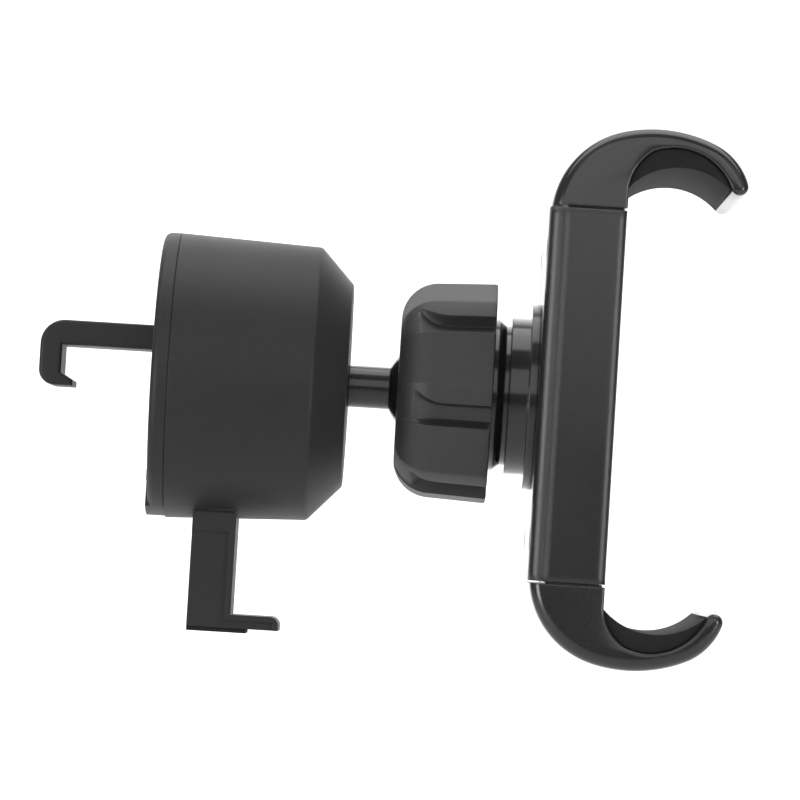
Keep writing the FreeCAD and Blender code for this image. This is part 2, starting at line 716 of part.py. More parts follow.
def round_edges(name, source, radius, along):
    """Round the long upright edges of a cradle piece that lie at one station."""
    half = value("cradle_half_width")
    station = value(along)
    return rounded(name, source, radius,
                   lambda edge: near(abs(edge.CenterOfMass.y), half) and near(edge.CenterOfMass.x, station)
                   and near(abs(edge.CenterOfMass.z), 0))


def cradle_cover():
    """Back cover with rounded long edges, the pinion pin's rear boss and the tongue rails."""
    slab = block("cover_slab", (CRADLE, HOUSING), ("-cradle_half_width", "cradle_half_width"),
                 ("-cradle_half_height", "cradle_half_height"))
    slab = round_edges("cover_round", slab, "edge_round", CRADLE)
    adds = [rod("cover_boss", "2 * pinion_pin_radius", "tongue_back_gap - run_fit", HOUSING)]
    middle = "(%s + %s / 2)" % (RACK_TIP, TONGUE_WIDTH)
    half = TONGUE_WIDTH + " / 4"
    for index, (side, up) in enumerate(((-1, -1), (-1, 1), (1, -1), (1, 1))):
        low = "cradle_half_height / 2"
        high = END_INNER + " - tongue_back_gap"
        adds.append(block("cover_rail_%d" % index, (HOUSING + " - screw_fit", TONGUE_BACK + " - slide_fit"),
                          ("%d * %s - %s" % (side, middle, half), "%d * %s + %s" % (side, middle, half)),
                          (low, high) if up > 0 else ("-(%s)" % high, "-(%s)" % low)))
    tools = [rod("cover_pin_hole", "pinion_pin_radius + screw_fit", "2 * cover_thick",
                 HOUSING + " - cover_thick / 2")]
    for index, (y, z) in enumerate(SOCKET_SCREWS):
        tools.append(rod("cover_socket_hole_%d" % index, "small_screw_radius + screw_fit", "2 * cover_thick",
                         CRADLE + " - cover_thick / 2", y, z))
    for index, (y, z) in enumerate(COVER_SCREWS):
        tools.append(rod("cover_hole_%d" % index, "small_screw_radius + screw_fit", "2 * cover_thick",
                         CRADLE + " - cover_thick / 2", y, z))
        tools.append(rod("cover_sink_%d" % index, "small_head_radius + screw_fit",
                         "2 * small_head_height + cover_thick / 2", CRADLE + " - cover_thick / 2", y, z))
    part("cradle_cover", cut("cover_cut", join("cover_join", slab, *adds), *tools))
    screws = [screw("cover_screw_%d" % index, "small_head_radius", "small_head_height", "small_screw_radius",
                    "cover_screw_length", CRADLE + " + small_head_height - screw_fit", y, z)
              for index, (y, z) in enumerate(COVER_SCREWS)]
    part("cover_screws", group("cover_screw_group", screws))


def cradle_housing():
    """Open-backed housing in which the two arm tongues, their springs and the pinion run."""
    shell = block("housing_block", (HOUSING, CRADLE_FACE), ("-cradle_half_width", "cradle_half_width"),
                  ("-cradle_half_height", "cradle_half_height"))
    shell = round_edges("housing_round", shell, "front_round", CRADLE_FACE)
    cavity = block("housing_cavity", (HOUSING + " - cover_thick", HOUSING_INNER),
                   ("-(%s)" % CAVITY_HALF, CAVITY_HALF), ("-(%s)" % END_INNER, END_INNER))
    tools = [cavity]
    inside = RACK_TIP + " - slide_fit"
    outside = "%s + %s + slide_fit" % (RACK_TIP, TONGUE_WIDTH)
    tongue = (TONGUE_BACK + " - slide_fit", TONGUE_FRONT + " + slide_fit")
    tools.append(block("housing_slot_up", tongue, ("-(%s)" % outside, "-(%s)" % inside),
                       (END_INNER + " - slide_fit", "cradle_half_height + slide_fit")))
    tools.append(block("housing_slot_down", tongue, (inside, outside),
                       ("-cradle_half_height - slide_fit", "-(%s) + slide_fit" % END_INNER)))
    for index, (y, z) in enumerate(COVER_SCREWS):
        tools.append(rod("housing_pilot_%d" % index, "small_screw_radius + screw_fit", "cover_screw_length",
                         HOUSING + " - screw_fit", y, z))
    tools.append(rounded_plate("housing_pad_seat", CRADLE_FACE + " - front_pad_seat", "2 * front_pad_seat",
                               "soft_fit / 2"))
    shell = cut("housing_hollow", shell, *tools)
    boss = rod("housing_boss", "2 * pinion_pin_radius", "slide_fit + screw_fit", TONGUE_FRONT + " + screw_fit")
    pin_hole = rod("housing_pin_hole", "pinion_pin_radius + screw_fit", "slide_fit + front_pad_seat + soft_fit",
                   TONGUE_FRONT)
    part("cradle_housing", cut("housing_cut", join("housing_join", shell, boss), pin_hole))


def rounded_plate(name, start, length, grow="0"):
    """Flat slab with rounded corners across the cradle's face."""
    across = "(%s + %s)" % (PAD_HALF_WIDTH, grow)
    up = "(%s + %s)" % (PAD_HALF_HEIGHT, grow)
    bend = "front_pad_corner"
    owner = body(name)
    corners = []
    for y, z, first in ((1, -1, "side"), (1, 1, "top"), (-1, 1, "side"), (-1, -1, "top")):
        level = ("%d * %s" % (y, across), "%d * (%s - %s)" % (z, up, bend))
        flat = ("%d * (%s - %s)" % (y, across, bend), "%d * %s" % (z, up))
        pair = (flat, level) if first == "side" else (level, flat)
        corners.append(pair[0] + (bend,))
        corners.append(pair[1])
    sketch = outline(owner, name + "_outline", "YZ_Plane", corners, start)
    pad = owner.newObject("PartDesign::Pad", name + "_pad")
    pad.Profile = sketch
    bind(pad, Length=length)
    return owner


def front_pad():
    """Rubber face that the phone rests on, seated in the housing and crossed by grooves."""
    slab = rounded_plate("front_pad_slab", CRADLE_FACE + " - front_pad_seat", "front_pad_seat + front_pad_rise")
    grooves = []
    for index in range(PAD_GROOVES):
        level = "%d * pad_groove_pitch" % (index - PAD_GROOVES // 2)
        grooves.append(block("front_pad_groove_%d" % index,
                             (CRADLE_FACE, CRADLE_FACE + " + 2 * front_pad_rise"),
                             ("-%s + front_pad_corner" % PAD_HALF_WIDTH, PAD_HALF_WIDTH + " - front_pad_corner"),
                             (level + " - pad_groove / 2", level + " + pad_groove / 2")))
    part("front_pad", cut("front_pad_cut", slab, *grooves))


def pinion():
    """Twelve involute teeth on a bored wheel between the two racks, and its fixed pin."""
    teeth = int(value("pinion_teeth"))
    pitch = value(PITCH_RADIUS)
    slope = math.radians(value("pressure_angle"))
    base = pitch * math.cos(slope)
    tip = pitch + value("tooth_head")
    root = pitch - value("tooth_foot")
    half = (math.pi * value("tooth_module") / 2 - value("tooth_backlash") / 2) / (2 * pitch)

    def flank(radius):
        """Angle of the flank from the tooth's middle at a radius."""
        if radius <= base:
            return half + math.tan(slope) - slope
        lean = math.acos(base / radius)
        return half + (math.tan(slope) - slope) - (math.tan(lean) - lean)

    def spot(radius, angle):
        """Point of the tooth outline in the pinion's plane."""
        return Vector(0, radius * math.cos(angle), radius * math.sin(angle))

    rise = [base + (tip - base) * span / FLANK_SPANS for span in range(FLANK_SPANS + 1)]
    edges = []
    for tooth in range(teeth):
        middle = 2 * math.pi * tooth / teeth
        after = 2 * math.pi * (tooth + 1) / teeth
        low = [spot(radius, middle - flank(radius)) for radius in rise]
        high = [spot(radius, middle + flank(radius)) for radius in reversed(rise)]
        edges.append(Part.LineSegment(spot(root, middle - flank(root)), low[0]).toShape())
        for row in (low, high):
            curve = Part.BSplineCurve()
            curve.interpolate(row)
            edges.append(curve.toShape())
            if row is low:
                edges.append(Part.Arc(low[-1], spot(tip, middle), high[0]).toShape())
        edges.append(Part.LineSegment(high[-1], spot(root, middle + flank(root))).toShape())
        edges.append(Part.Arc(spot(root, middle + flank(root)), spot(root, (middle + after) / 2),
                              spot(root, after - flank(root))).toShape())
    wheel = Part.Face(Part.Wire(edges))
    length = value("tongue_thick - screw_fit - run_fit")
    blank = doc.addObject("Part::Feature", "pinion_blank")
    blank.Shape = wheel.extrude(Vector(length, 0, 0))
    blank.Placement = Placement(Vector(value(TONGUE_BACK + " + screw_fit"), 0, 0), Rotation())
    bore = rod("pinion_bore", "pinion_pin_radius + run_fit", "2 * tongue_thick",
               TONGUE_BACK + " - tongue_thick / 2")
    part("pinion", cut("pinion_cut", blank, bore))
    start = HOUSING + " - cover_thick / 2"
    part("pinion_pin", rod("pinion_pin_rod", "pinion_pin_radius",
                           "%s + slide_fit + front_pad_seat - (%s)" % (TONGUE_FRONT, start), start))


def sliding_arm(label, below):
    """Claw on a racked tongue, its curved pad and its spring; the lower set is turned over."""
    base = "(cradle_half_height + arm_gap)"
    back = "(%s + arm_inset)" % CRADLE
    front = CRADLE_FACE
    crown_x = "(%s + claw_back_reach + claw_crown_run)" % back
    tip_x = "(%s + claw_tip_run)" % crown_x
    tip_z = "(%s + claw_tip_rise)" % base
    inner = [
        (tip_x + " - claw_nose", tip_z + " - claw_nose / 2", "claw_inner_bend"),
        (front + " + claw_root_run", base + " + claw_rise - claw_wall", "claw_root_bend"),
        (front, base + " + claw_root_rise"),
    ]
    claw = padded(label + "_claw", "XZ_Plane", [
        (back, base, "-claw_back_bend"),
        (back + " + claw_back_reach", base + " + claw_rise", "-" + CROWN_BEND),
        (crown_x, base + " + claw_rise - claw_crown_drop", "-" + TIP_BEND),
        (tip_x, tip_z, "-" + NOSE_BEND),
    ] + inner + [(front, base)], "2 * cradle_half_width")
    half = value("cradle_half_width")
    bends = [value(radius) for radius in ("claw_back_bend", CROWN_BEND, TIP_BEND, NOSE_BEND)]

    def outer_arc(edge):
        """True for an edge that follows one of the claw's outer arcs."""
        return hasattr(edge.Curve, "Radius") and any(near(edge.Curve.Radius, bend) for bend in bends)

    soft = rounded(label + "_soft", claw, "claw_edge_round",
                   lambda edge: near(edge.CenterOfMass.y, -half) and outer_arc(edge))
    away = block(label + "_away", ("0", "2 * (%s)" % tip_x), ("0", "2 * cradle_half_width"),
                 ("0", "2 * (%s + claw_rise)" % base))
    side = cut(label + "_side", soft, away)
    soft = join(label + "_even", side, mirrored(label + "_twin", side))
    pitch = "(pi * tooth_module)"
    lean = "tan(pressure_angle * 1 deg)"
    wide = "(%s / 4 + tooth_backlash / 2 + tooth_head * %s)" % (pitch, lean)
    slim = "(%s / 4 + tooth_backlash / 2 - tooth_foot * %s)" % (pitch, lean)
    outer = "-(%s + %s)" % (RACK_TIP, TONGUE_WIDTH)
    floor = "-(%s + tooth_head + tooth_foot)" % RACK_TIP
    corners = [(outer, "-" + TONGUE_REACH), ("-" + RACK_TIP, "-" + TONGUE_REACH)]
    lowest = int((value(TONGUE_REACH) - value(wide)) / value(pitch))
    for gap in range(-lowest, 2):
        level = "%d * %s" % (gap, pitch)
        corners.append(("-" + RACK_TIP, level + " - " + wide))
        corners.append((floor, level + " - " + slim))
        corners.append((floor, level + " + " + slim))
        corners.append(("-" + RACK_TIP, level + " + " + wide))
    corners += [("-" + RACK_TIP, base + " + claw_wall / 2"), (outer, base + " + claw_wall / 2")]
    owner = body(label + "_tongue")
    sketch = outline(owner, label + "_tongue_outline", "YZ_Plane", corners, TONGUE_BACK)
    tongue = owner.newObject("PartDesign::Pad", label + "_tongue_pad")
    tongue.Profile = sketch
    bind(tongue, Length="tongue_thick")
    lug = block(label + "_lug", (TONGUE_BACK, TONGUE_FRONT),
                (outer + " - 2 * arm_spring_radius - 2 * arm_spring_wire - soft_fit", outer + " + soft_fit"),
                ("-" + TONGUE_REACH, "-%s + lug_height" % TONGUE_REACH))
    arm = part(label, join(label + "_join", soft, owner, lug))
    drop = " - run_fit"
    pad = padded(label + "_pad_form", "XZ_Plane", [
        (inner[0][0], inner[0][1] + drop, inner[0][2]),
        (inner[1][0], inner[1][1] + drop, inner[1][2]),
        (inner[2][0], inner[2][1] + drop, "-claw_pad_bend"),
    ], "2 * cradle_half_width - 2 * claw_pad_inset")
    part(label + "_pad", pad)
    start = "-%s + lug_height + screw_fit + arm_spring_wire / 2" % TONGUE_REACH
    spring = coil(label + "_coil", "arm_spring_radius", "arm_spring_wire", "arm_spring_turns",
                  "%s - screw_fit - arm_spring_wire / 2 - (%s)" % (END_INNER, start),
                  TONGUE_BACK + " + tongue_thick / 2",
                  outer + " - arm_spring_radius - arm_spring_wire / 2 - soft_fit", start, "z")
    part(label + "_spring", group(label + "_spring_node", [spring]))
    if below:
        over = Placement(Vector(), Rotation(Vector(1, 0, 0), 180))
        for thing in (arm, pad, parts[-1]):
            thing.Placement = over


# Directions of the three plate screws in degrees, from +Y towards +Z
PLATE_SCREW_ANGLES = (90, 205, 335)
PLATE_SCREWS = [("%s * cos(%d deg)" % (SCREW_CIRCLE, angle), "%s * sin(%d deg)" % (SCREW_CIRCLE, angle))
                for angle in PLATE_SCREW_ANGLES]
SOCKET_SCREWS = [("%d * socket_screw_circle * sqrt(0.5)" % y, "%d * socket_screw_circle * sqrt(0.5)" % z)
                 for y in (-1, 1) for z in (-1, 1)]
COVER_SCREWS = [("%d * (cradle_half_width - cover_screw_inset)" % y,
                 "%d * (cradle_half_height - cover_screw_end)" % z) for y in (-1, 1) for z in (-1, 1)]

barrel_housing()
back_plate()
plate_screws()
ball_stud()
vent_hook()
support_leg()
liner("ball_cup", CUP_OUT, "ball_radius + liner_gap", "cup_wrap")
liner("friction_liner", LINER_OUT, LINER_IN, "friction_wrap")
socket()
clamp_nut()
cradle_cover()
cradle_housing()
front_pad()
pinion()
sliding_arm("upper_arm", False)
sliding_arm("lower_arm", True)

doc.recompute()
for thing in doc.Objects:
    states = [state for state in thing.State if state in ("Invalid", "Error")]
    assert not states, "%s failed: %s" % (thing.Name, states)
os.makedirs("parts", exist_ok=True)
for thing in parts:
    assert not thing.Shape.isNull() and thing.Shape.isValid(), thing.Label + " has no valid shape"
    assert thing.Shape.Volume > 0, thing.Label + " has no volume"
for thing in parts:
    thing.Shape.exportStep("parts/%s.step" % thing.Label)
    box = thing.Shape.BoundBox
    print("%-18s %2d solid  %9.1f mm3  x %7.2f %7.2f  y %7.2f %7.2f  z %7.2f %7.2f" % (
        thing.Label, len(thing.Shape.Solids), thing.Shape.Volume,
        box.XMin, box.XMax, box.YMin, box.YMax, box.ZMin, box.ZMax))
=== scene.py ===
import json
import math

import bmesh
import bpy
import numpy as np
from mathutils import Matrix, Vector


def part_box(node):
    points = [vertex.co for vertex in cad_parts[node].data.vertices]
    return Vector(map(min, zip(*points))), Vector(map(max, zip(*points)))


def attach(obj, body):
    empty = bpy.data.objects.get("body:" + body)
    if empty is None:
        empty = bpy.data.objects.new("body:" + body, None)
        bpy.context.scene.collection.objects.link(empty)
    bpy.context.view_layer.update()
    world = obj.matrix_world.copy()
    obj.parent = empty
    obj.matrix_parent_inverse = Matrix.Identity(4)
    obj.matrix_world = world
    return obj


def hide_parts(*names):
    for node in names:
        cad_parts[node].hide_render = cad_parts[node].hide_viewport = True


bl_info = {
    "name": "Vent Phone Holder",
    "version": (1, 0, 0),
    "blender": (4, 5, 0),
    "location": "View3D > Sidebar > Vent Holder",
    "description": "Builds the finish of an air vent phone holder round its packed frame",
    "category": "Add Mesh",
}

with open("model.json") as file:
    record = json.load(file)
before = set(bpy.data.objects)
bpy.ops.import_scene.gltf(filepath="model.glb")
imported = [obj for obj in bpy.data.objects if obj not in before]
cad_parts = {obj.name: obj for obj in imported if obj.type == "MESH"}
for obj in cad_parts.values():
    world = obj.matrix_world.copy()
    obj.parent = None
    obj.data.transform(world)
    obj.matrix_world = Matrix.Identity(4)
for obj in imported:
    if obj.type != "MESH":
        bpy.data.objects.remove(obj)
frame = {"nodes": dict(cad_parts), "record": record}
nodes = frame["nodes"]
MM = 0.001


def low(node):
    """Lowest corner of a frame node, in millimetres."""
    return np.array(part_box(node)[0]) / MM


def high(node):
    """Highest corner of a frame node, in millimetres."""
    return np.array(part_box(node)[1]) / MM


# Surfaces

def arc_points(start, end, radius, count):
    """Circle arc from start to end: centre on the chord's perpendicular, angle stepped evenly."""
    start, end = np.array(start, float), np.array(end, float)
    chord = end - start
    length = np.hypot(*chord)
    side = np.array([-chord[1], chord[0]]) / length * math.copysign(1.0, radius)
    centre = (start + end) / 2 + side * math.sqrt(max(radius ** 2 - length ** 2 / 4, 0.0))
    first = math.atan2(*(start - centre)[::-1])
    last = math.atan2(*(end - centre)[::-1])
    if radius > 0 and last < first:
        last += 2 * math.pi
    if radius < 0 and last > first:
        last -= 2 * math.pi
    angle = np.linspace(first, last, count)
    return centre + abs(radius) * np.stack([np.cos(angle), np.sin(angle)], 1)


def soften(corners, count):
    """Corner rounding: a corner P with a radius becomes a quadratic curve from P - tA to P + tB.

    A corner is (x, z), which stays sharp, or (x, z, radius); t is the trim that suits the corner's turn."""
    points = []
    total = len(corners)
    for index, corner in enumerate(corners):
        here = np.array(corner[:2], float)
        if len(corner) < 3:
            points.append(here)
            continue
        before = np.array(corners[index - 1][:2], float) - here
        after = np.array(corners[(index + 1) % total][:2], float) - here
        span_a, span_b = np.hypot(*before), np.hypot(*after)
        turn = math.acos(np.clip(np.dot(before, after) / (span_a * span_b), -1, 1))
        trim = min(corner[2] / math.tan(turn / 2), span_a / 2, span_b / 2)
        step = np.linspace(0, 1, count)[:, None]
        first, last = here + before / span_a * trim, here + after / span_b * trim
        points.extend((1 - step) ** 2 * first + 2 * step * (1 - step) * here + step ** 2 * last)
    return np.array(points)


def normals_of(points):
    """Outward normals of a closed outline that runs counter-clockwise: tangent turned by -90 degrees."""
    tangent = np.roll(points, -1, axis=0) - np.roll(points, 1, axis=0)
    tangent /= np.maximum(np.linalg.norm(tangent, axis=1, keepdims=True), 1e-9)
    return np.stack([tangent[:, 1], -tangent[:, 0]], 1)


def area_of(points):
    """Signed area of a closed outline by the shoelace sum."""
    following = np.roll(points, -1, axis=0)
    return 0.5 * np.sum(points[:, 0] * following[:, 1] - following[:, 0] * points[:, 1])


def grid_faces(rows, columns, wrap_rows=False, wrap_columns=True):
    """Quads of a rows by columns grid, as index arrays."""
    r = np.arange(rows if wrap_rows else rows - 1)
    c = np.arange(columns if wrap_columns else columns - 1)
    r, c = np.meshgrid(r, c, indexing="ij")
    r2, c2 = (r + 1) % rows, (c + 1) % columns
    quads = [r * columns + c, r * columns + c2, r2 * columns + c2, r2 * columns + c]
    return np.stack(quads, -1).reshape(-1, 4)


def make_mesh(name, points, faces, angle=35.0):
    """Smooth mesh object from millimetre points and faces, with outward normals."""
    mesh = bpy.data.meshes.new(name)
    mesh.from_pydata((np.asarray(points) * MM).tolist(), [], [list(map(int, f)) for f in faces])
    joined = bmesh.new()
    joined.from_mesh(mesh)
    bmesh.ops.remove_doubles(joined, verts=joined.verts, dist=1e-7)
    bmesh.ops.recalc_face_normals(joined, faces=joined.faces)
    joined.to_mesh(mesh)
    joined.free()
    mesh.update()
    mesh.shade_smooth()
    mesh.set_sharp_from_angle(angle=math.radians(angle))
    piece = bpy.data.objects.new(name, mesh)
    bpy.context.scene.collection.objects.link(piece)
    return piece


def prism(outline, half_width, edge, plane="xz", centre=0.0, steps=7, inward=None):
    """Points and faces of an outline carried across, its two long edges rounded by r, which may vary.

    In the outline's plane the point is P(u) - n(u) r (1 - sin a), and across it half_width - r (1 - cos a),
    with a from 0 at the side face to 90 degrees on the skin. inward gives chosen points their own n."""
    points = np.asarray(outline, float)
    radius = np.broadcast_to(np.asarray(edge, float), (len(points),)).copy()
    clockwise = area_of(points) < 0
    normal = normals_of(points) * (-1.0 if clockwise else 1.0)
    for index, direction in (inward or {}).items():
        normal[index] = direction
    if clockwise:
        points, radius, normal = points[::-1], radius[::-1], normal[::-1]
    rings, depths = [], []
    for sign in (-1, 1):
        angles = np.linspace(0, math.pi / 2, steps)
        for angle in angles if sign < 0 else angles[::-1]:
            rings.append(points - normal * (radius * (1 - math.sin(angle)))[:, None])
            depths.append(centre + sign * (half_width - radius * (1 - math.cos(angle))))
    count = len(points)
    flat, across = np.concatenate(rings), np.concatenate(depths)
    axes = {"xz": (flat[:, 0], across, flat[:, 1]), "yz": (across, flat[:, 0], flat[:, 1])}
    faces = grid_faces(len(rings), count).tolist()
    faces.append(list(range(count)))
    faces.append(list(range((len(rings) - 1) * count, len(rings) * count)))
    return np.stack(axes[plane], 1), faces


def merged(name, *shapes):
    """One mesh object from several (points, faces) shapes."""
    points, faces, start = [], [], 0
    for spots, rows in shapes:
        points.append(spots)
        faces.extend([[start + index for index in row] for row in rows])
        start += len(spots)
    return make_mesh(name, np.concatenate(points), faces)


def lathe(name, profile, turns, shape=None, angle=35.0):
    """Closed profile of (along, radius) carried round the barrel axis.

    Point = (x(u), -r cos t, r sin t), with (r, t) = shape(x, radius, t) where a shape function is given."""
    profile = np.asarray(profile, float)
    along = np.repeat(profile[:, 0:1], len(turns), 1)
    radius = np.repeat(profile[:, 1:2], len(turns), 1)
    turn = np.repeat(turns[None, :], len(profile), 0)
    if shape is not None:
        radius, turn = shape(along, radius, turn)
    spots = np.stack([along, -radius * np.cos(turn), radius * np.sin(turn)], -1).reshape(-1, 3)
    return make_mesh(name, spots, grid_faces(len(profile), len(turns), wrap_rows=True), angle=angle)


def turned_over(shape):
    """Shape turned half way round the barrel axis: (x, y, z) to (x, -y, -z)."""
    spots, faces = shape
    return spots * np.array([1.0, -1.0, -1.0]), faces


# Looks

def new_group(name, inputs, outputs):
    """Empty shader group with its sockets; inputs are (name, kind, default)."""
    group = bpy.data.node_groups.new(name, "ShaderNodeTree")
    for label, kind, default in inputs:
        socket = group.interface.new_socket(label, in_out="INPUT", socket_type=kind)
        socket.default_value = default
    for label, kind in outputs:
        group.interface.new_socket(label, in_out="OUTPUT", socket_type=kind)
    return group, group.nodes.new("NodeGroupInput"), group.nodes.new("NodeGroupOutput")


def wire(tree, start, end):
    """Link two sockets."""
    tree.links.new(start, end)


def node(tree, kind, **settings):
    """New node of a kind, with its settings."""
    made = tree.nodes.new(kind)
    for key, setting in settings.items():
        setattr(made, key, setting)
    return made


def noise(tree, vector, scale, detail, rough=0.5):
    """Noise texture on the given coordinates."""
    made = node(tree, "ShaderNodeTexNoise")
    made.inputs["Scale"].default_value = scale
    made.inputs["Detail"].default_value = detail
    made.inputs["Roughness"].default_value = rough
    wire(tree, vector, made.inputs["Vector"])
    return made


def spread(tree, source, low_out, high_out, low_in=0.3, high_in=0.7):
    """Source socket's range mapped smoothly to another."""
    made = node(tree, "ShaderNodeMapRange")
    made.inputs["From Min"].default_value = low_in
    made.inputs["From Max"].default_value = high_in
    made.inputs["To Min"].default_value = low_out
    made.inputs["To Max"].default_value = high_out
    made.interpolation_type = "SMOOTHSTEP"
    wire(tree, source, made.inputs["Value"])
    return made


def tint(tree, colour, factor):
    """Colour multiplied by a grey factor."""
    made = node(tree, "ShaderNodeMix", data_type="RGBA", blend_type="MULTIPLY")
    made.inputs["Factor"].default_value = 1.0
    wire(tree, colour, made.inputs["A"])
    wire(tree, factor, made.inputs["B"])
    return made


def relief(tree, enter, leave, height, distance, strength=None):
    """Normal output: fine bump of a height source laid over edges softened by the group's own radius."""
    edge = node(tree, "ShaderNodeBevel", samples=6)
    wire(tree, enter.outputs["Soft edge"], edge.inputs["Radius"])
    bump = node(tree, "ShaderNodeBump")
    bump.inputs["Distance"].default_value = distance
    if strength is None:
        wire(tree, enter.outputs["Grain"], bump.inputs["Strength"])
    else:
        bump.inputs["Strength"].default_value = strength
    wire(tree, height, bump.inputs["Height"])
    wire(tree, edge.outputs["Normal"], bump.inputs["Normal"])
    wire(tree, bump.outputs["Normal"], leave.inputs["Normal"])


def moulding_group():
    """Injection moulding: slow variation in colour and gloss, mottle, soft edges and a fine satin bump."""
    group, enter, leave = new_group(
        "Moulded surface",
        [("Color", "NodeSocketColor", (0.04, 0.04, 0.04, 1)), ("Grain", "NodeSocketFloat", 0.05),
         ("Roughness", "NodeSocketFloat", 0.4), ("Soft edge", "NodeSocketFloat", 0.3 * MM)],
        [("Color", "NodeSocketColor"), ("Roughness", "NodeSocketFloat"), ("Normal", "NodeSocketVector")])
    place = node(group, "ShaderNodeTexCoord").outputs["Object"]
    slow = noise(group, place, 45.0, 3.0)
    fine = noise(group, place, 5200.0, 2.0)
    mottle = noise(group, place, 900.0, 3.0)
    shade = spread(group, slow.outputs["Fac"], 0.93, 1.07)
    speck = spread(group, mottle.outputs["Fac"], 0.95, 1.05)
    first = tint(group, enter.outputs["Color"], shade.outputs["Result"])
    second = tint(group, first.outputs["Result"], speck.outputs["Result"])
    wire(group, second.outputs["Result"], leave.inputs["Color"])
    uneven = spread(group, slow.outputs["Fac"], -0.03, 0.03)
    rough = node(group, "ShaderNodeMath", operation="ADD")
    wire(group, enter.outputs["Roughness"], rough.inputs[0])
    wire(group, uneven.outputs["Result"], rough.inputs[1])
    wire(group, rough.outputs[0], leave.inputs["Roughness"])
    relief(group, enter, leave, fine.outputs["Fac"], 0.05 * MM)
    return group


def grain_group():
    """Spark eroded texture: rounded pits and noise, both of about 0.2 mm; the colour darkens towards each
    pit's bottom as painted shade.
    """
    group, enter, leave = new_group(
        "Spark grain",
        [("Color", "NodeSocketColor", (0.04, 0.04, 0.04, 1)), ("Grain", "NodeSocketFloat", 0.3),
         ("Soft edge", "NodeSocketFloat", 0.2 * MM)],
        [("Color", "NodeSocketColor"), ("Normal", "NodeSocketVector")])
    place = node(group, "ShaderNodeTexCoord").outputs["Object"]
    pits = node(group, "ShaderNodeTexVoronoi", feature="SMOOTH_F1")
    pits.inputs["Scale"].default_value = 5200.0
    pits.inputs["Smoothness"].default_value = 0.6
    wire(group, place, pits.inputs["Vector"])
    fine = noise(group, place, 5000.0, 3.0)
    height = node(group, "ShaderNodeMath", operation="ADD")
    wire(group, pits.outputs["Distance"], height.inputs[0])
    wire(group, fine.outputs["Fac"], height.inputs[1])
    # painted shade: colour darker at each pit's bottom, lighter at its rim
    shade = spread(group, pits.outputs["Distance"], 0.86, 1.12, 0.0, 0.8)
    colour = tint(group, enter.outputs["Color"], shade.outputs["Result"])
    wire(group, colour.outputs["Result"], leave.inputs["Color"])
    relief(group, enter, leave, height.outputs[0], 0.1 * MM)
    return group


def rubber_group():
    """Soft rubber: dusty bloom on a dark ground and a very fine pebble."""
    group, enter, leave = new_group(
        "Rubber face",
        [("Color", "NodeSocketColor", (0.02, 0.02, 0.02, 1)),
         ("Dust", "NodeSocketColor", (0.018, 0.018, 0.018, 1)),
         ("Soft edge", "NodeSocketFloat", 0.3 * MM)],
        [("Color", "NodeSocketColor"), ("Normal", "NodeSocketVector")])
    place = node(group, "ShaderNodeTexCoord").outputs["Object"]
    cloud = noise(group, place, 160.0, 5.0, 0.6)
    pebble = noise(group, place, 4200.0, 2.0)
    mask = spread(group, cloud.outputs["Fac"], 0.0, 0.35, 0.5, 0.75)
    colour = node(group, "ShaderNodeMix", data_type="RGBA")
    wire(group, mask.outputs["Result"], colour.inputs["Factor"])
    wire(group, enter.outputs["Color"], colour.inputs["A"])
    wire(group, enter.outputs["Dust"], colour.inputs["B"])
    wire(group, colour.outputs["Result"], leave.inputs["Color"])
    relief(group, enter, leave, pebble.outputs["Fac"], 0.06 * MM, strength=0.35)
    return group


def steel_group():
    """Plated wire and screws: drawn lines stretched along one way, faint tarnish."""
    group, enter, leave = new_group(
        "Drawn steel",
        [("Color", "NodeSocketColor", (0.5, 0.5, 0.5, 1))],
        [("Color", "NodeSocketColor"), ("Roughness", "NodeSocketFloat"), ("Normal", "NodeSocketVector")])
    place = node(group, "ShaderNodeTexCoord").outputs["Object"]
    stretch = node(group, "ShaderNodeMapping")
    stretch.inputs["Scale"].default_value = (1.0, 12.0, 12.0)
    wire(group, place, stretch.inputs["Vector"])
    lines = noise(group, stretch.outputs["Vector"], 500.0, 4.0)
    stain = noise(group, place, 200.0, 3.0)
    shade = spread(group, stain.outputs["Fac"], 0.8, 1.1)
    colour = tint(group, enter.outputs["Color"], shade.outputs["Result"])
    wire(group, colour.outputs["Result"], leave.inputs["Color"])
    rough = spread(group, lines.outputs["Fac"], 0.22, 0.42)
    wire(group, rough.outputs["Result"], leave.inputs["Roughness"])
    bump = node(group, "ShaderNodeBump")
    bump.inputs["Strength"].default_value = 0.2
    bump.inputs["Distance"].default_value = 0.03 * MM
    wire(group, lines.outputs["Fac"], bump.inputs["Height"])
    wire(group, bump.outputs["Normal"], leave.inputs["Normal"])
    return group


def finish_of(name, effect, colour, rough=None, metallic=0.0, specular=0.5, **sockets):
    """Material: principled shader fed by an effect group, which gives values only."""
    material = bpy.data.materials.new(name)
    material.use_nodes = True
    tree = material.node_tree
    shader = tree.nodes["Principled BSDF"]
    shader.inputs["Metallic"].default_value = metallic
    shader.inputs["Specular IOR Level"].default_value = specular
    effects = node(tree, "ShaderNodeGroup", node_tree=effect)
    effects.inputs["Color"].default_value = (*colour, 1.0)
    for label, setting in sockets.items():
        effects.inputs[label.replace("_", " ")].default_value = setting
    if "Roughness" in effects.inputs:
        effects.inputs["Roughness"].default_value = rough
    wire(tree, effects.outputs["Color"], shader.inputs["Base Color"])
    wire(tree, effects.outputs["Normal"], shader.inputs["Normal"])
    if "Roughness" in effects.outputs:
        wire(tree, effects.outputs["Roughness"], shader.inputs["Roughness"])
    else:
        shader.inputs["Roughness"].default_value = rough
    return material


def dress(piece, material):
    """Give a piece one material in all its slots."""
    slots = piece.data.materials
    if not len(slots):
        slots.append(material)
    for index in range(len(slots)):
        slots[index] = material


def settings():
    """The scene's sizes and colours."""
    return bpy.context.scene.holder_looks


